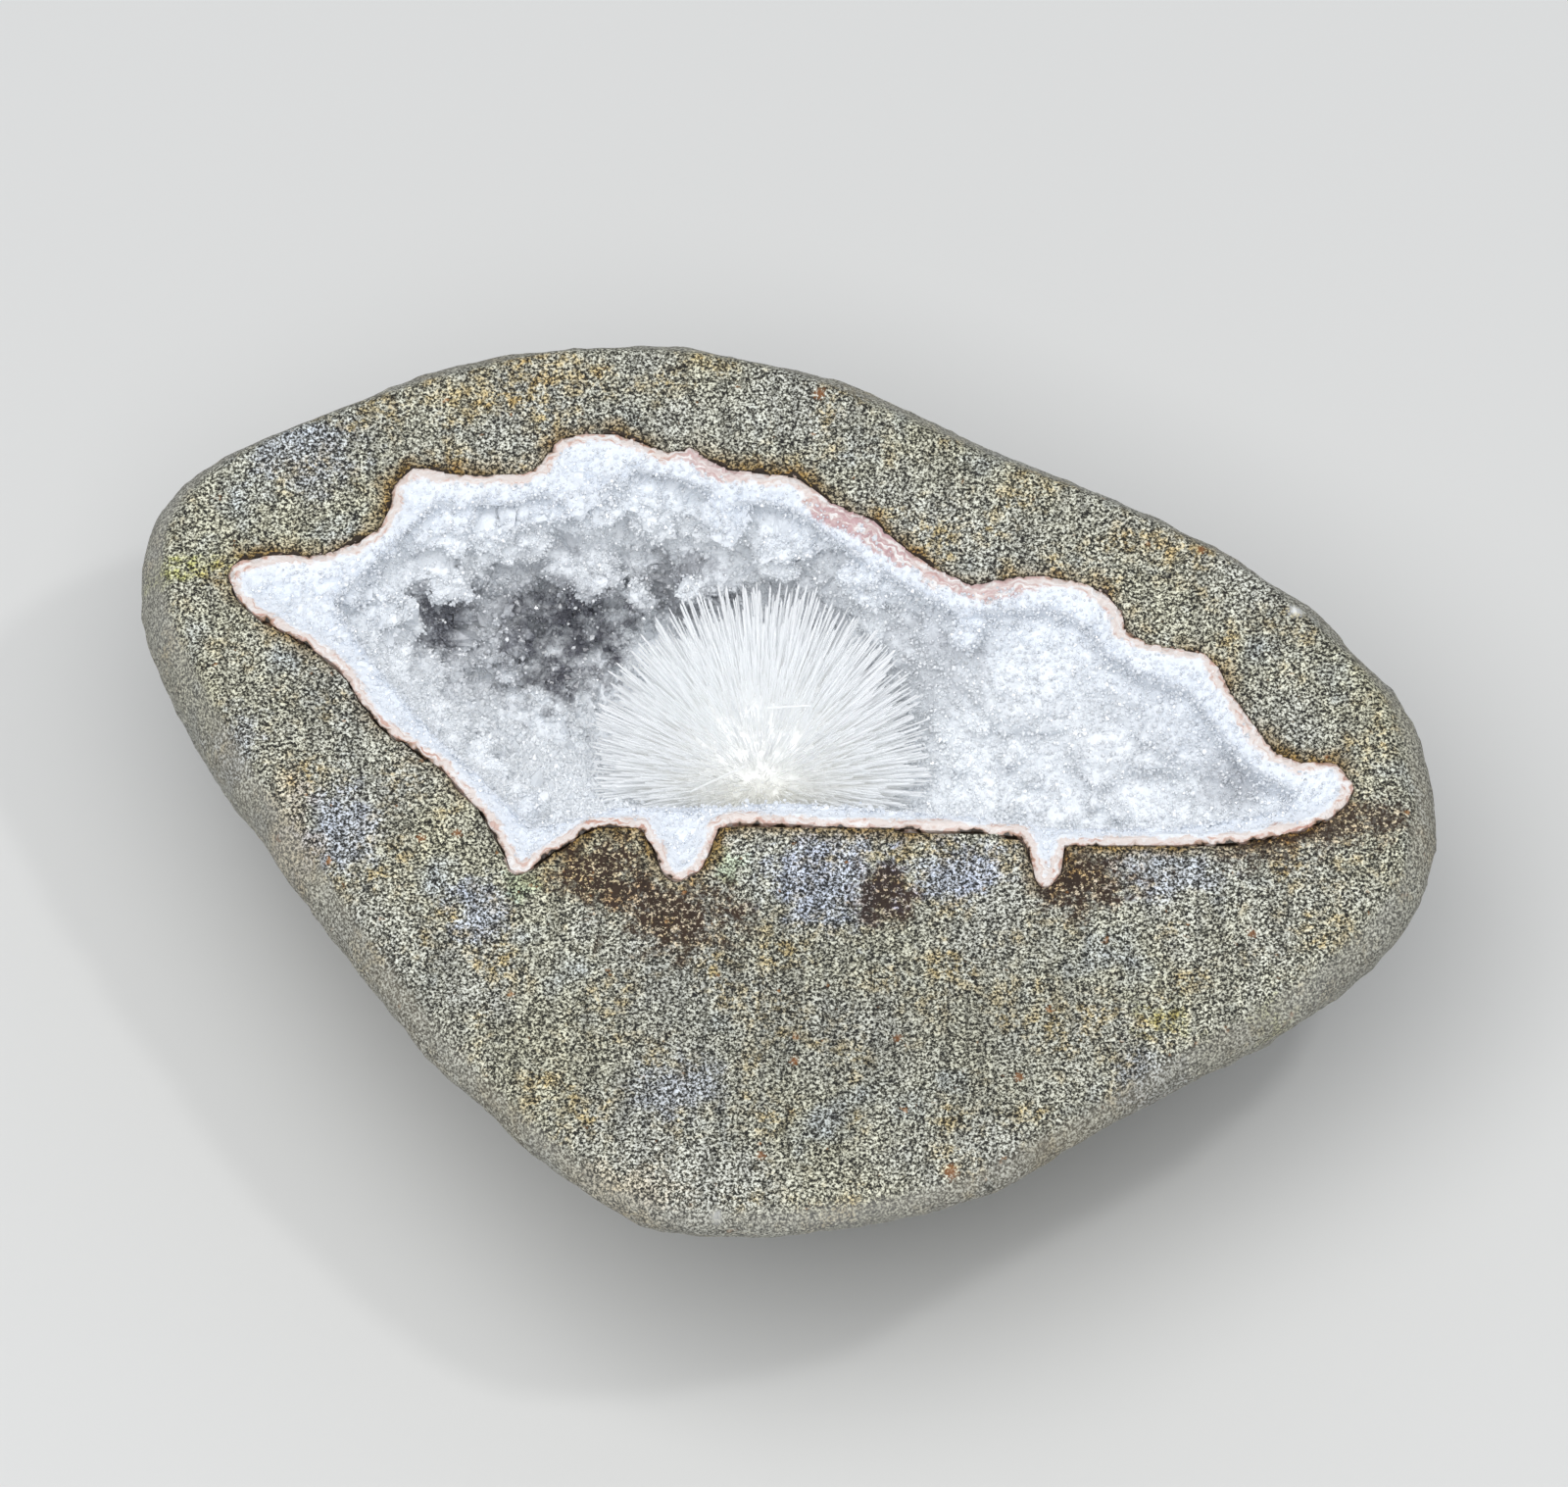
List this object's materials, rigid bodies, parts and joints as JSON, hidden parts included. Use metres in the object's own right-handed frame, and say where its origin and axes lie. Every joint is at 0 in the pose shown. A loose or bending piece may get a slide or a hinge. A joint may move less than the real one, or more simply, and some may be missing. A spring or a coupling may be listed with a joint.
{
  "type": "scolecite specimen",
  "caption": "Half of a basalt nodule, sawn flat, with a quartz-lined hollow that holds a half-ball spray of white scolecite needles.",
  "frame": {"origin": "middle of the stone's bounding box, on the base it lies on", "axes": "+Z out of the sawn face, which looks up; +X along the stone's length, the picture's right; +Y the picture's up"},
  "size_m": [0.114, 0.0888, 0.042],
  "materials": {
    "basalt": "sawn and rough, speckled grey with olive and brown stains",
    "quartz": "sugary white crystal crust with a cream and pink rind",
    "scolecite": "silky white needles"
  },
  "bodies": {
    "root": {"basalt_matrix": "basalt", "quartz_crust": "quartz", "scolecite_spray": "scolecite"}
  },
  "joints": []
}
